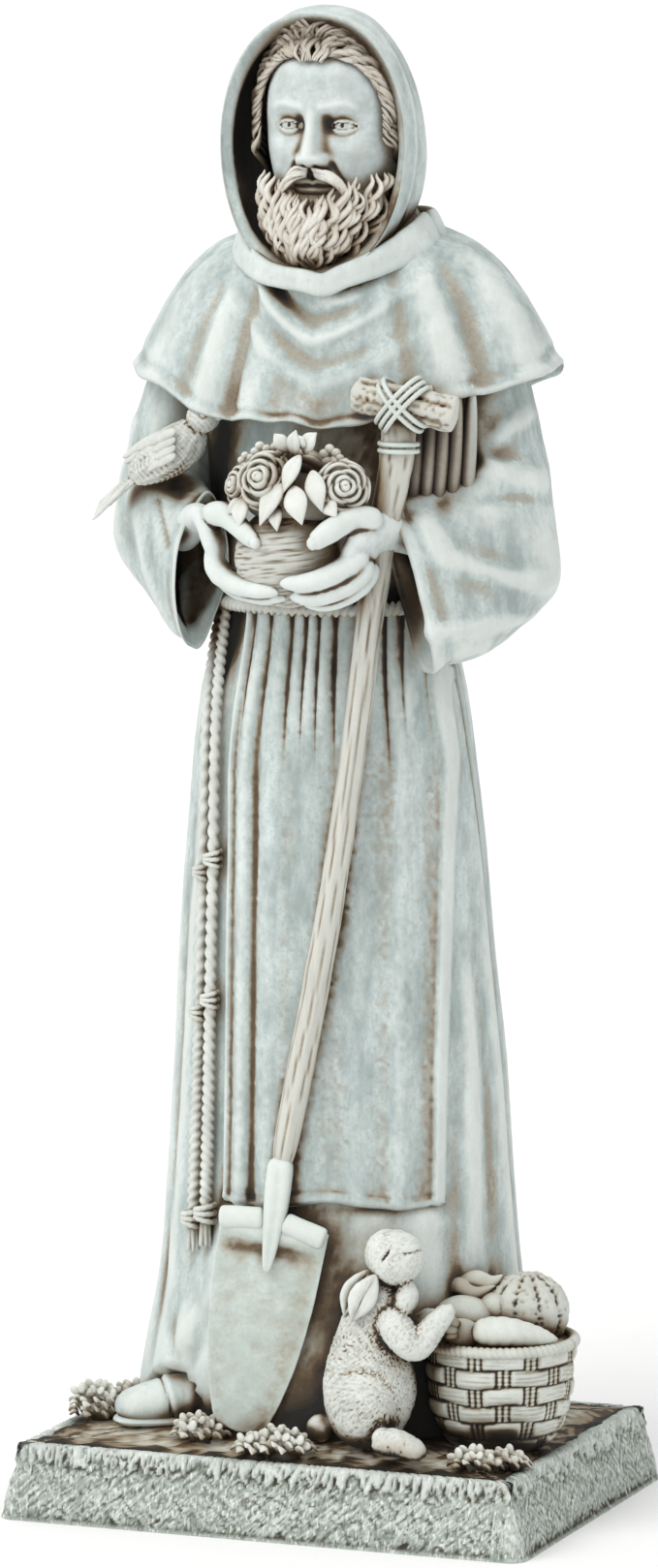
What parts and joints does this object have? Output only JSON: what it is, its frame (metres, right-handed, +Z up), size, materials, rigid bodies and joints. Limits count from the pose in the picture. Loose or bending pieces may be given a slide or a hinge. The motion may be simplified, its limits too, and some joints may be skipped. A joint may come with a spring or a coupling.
{
  "type": "saint fiacre garden statue",
  "caption": "Cast garden statue of a hooded monk with a pot of roses, a bird, a spade, a rabbit and a vegetable basket, on its own low plinth.",
  "frame": {"origin": "middle of the plinth's underside, on the surface that it stands on", "axes": "+Z up along the figure's height; the figure faces -Y; +X is to the viewer's right"},
  "size_m": [0.2264, 0.1734, 0.6097],
  "materials": {
    "antiqued_stone": "matte pale blue-grey cast stone, with a dark brown wash left in the recesses and a warm tan on the wood and turf"
  },
  "bodies": {
    "root": {"statue": "antiqued_stone"}
  },
  "joints": []
}
